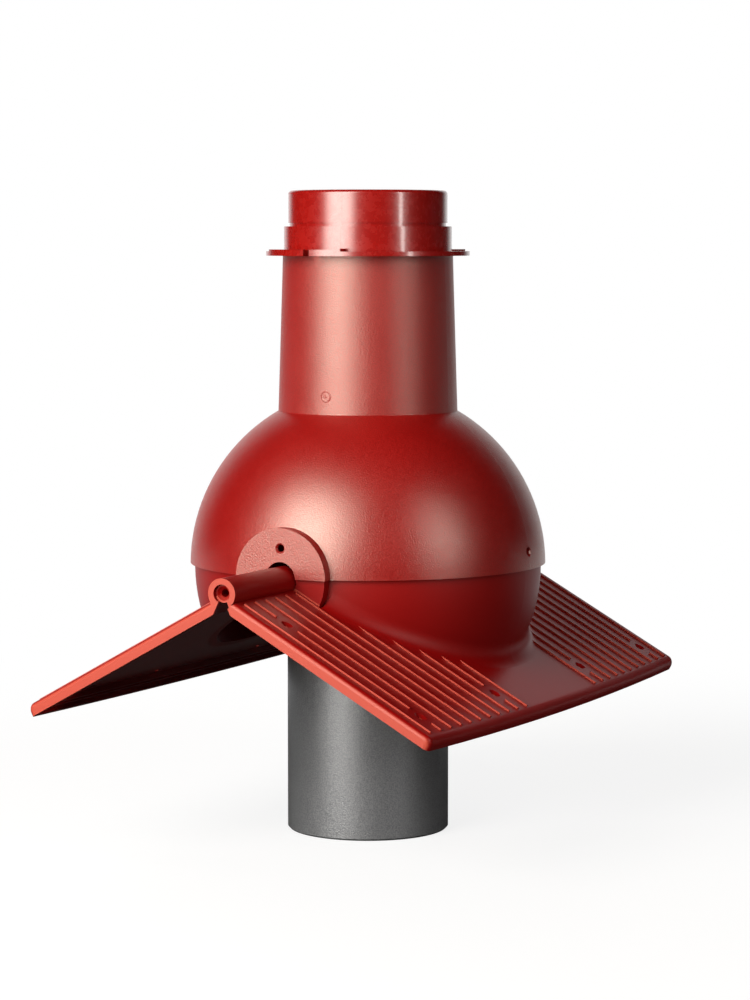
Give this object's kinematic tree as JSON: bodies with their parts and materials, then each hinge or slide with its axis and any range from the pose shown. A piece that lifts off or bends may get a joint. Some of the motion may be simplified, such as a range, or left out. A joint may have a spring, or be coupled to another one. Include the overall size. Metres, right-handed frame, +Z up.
{
  "type": "roof vent pipe",
  "caption": "Ridge roof vent pipe: a grey pipe under a domed red cover with a neck and adapter ring, and two ribbed flashing plates hinged along the ridge.",
  "frame": {"origin": "centre of the pipe's lower end, where the part stands", "axes": "+Z up along the pipe, Y along the roof ridge and hinge line, +X down the right roof slope"},
  "size_m": [0.3392, 0.452, 0.494],
  "materials": {
    "grey_pipe": "fine grained grey pipe",
    "gloss_red": "smooth glossy red",
    "grained_red": "fine grained satin red",
    "plate_red": "satin red"
  },
  "bodies": {
    "cover": {"dome_cover": "grained_red", "adapter_ring": "gloss_red", "vent_pipe": "grey_pipe"},
    "right_plate": {"right_flashing_plate": "plate_red"},
    "left_plate": {"left_flashing_plate": "plate_red"}
  },
  "joints": [
    {"name": "right_plate_hinge", "type": "hinge", "parent": "cover", "child": "right_plate", "pos_m": [0, 0, 0.206], "axis": [0, 1, 0], "range_deg": [-3.7, 21.3]},
    {"name": "left_plate_hinge", "type": "hinge", "parent": "cover", "child": "left_plate", "pos_m": [0, 0, 0.206], "axis": [0, -1, 0], "range_deg": [-3.7, 21.3]}
  ]
}
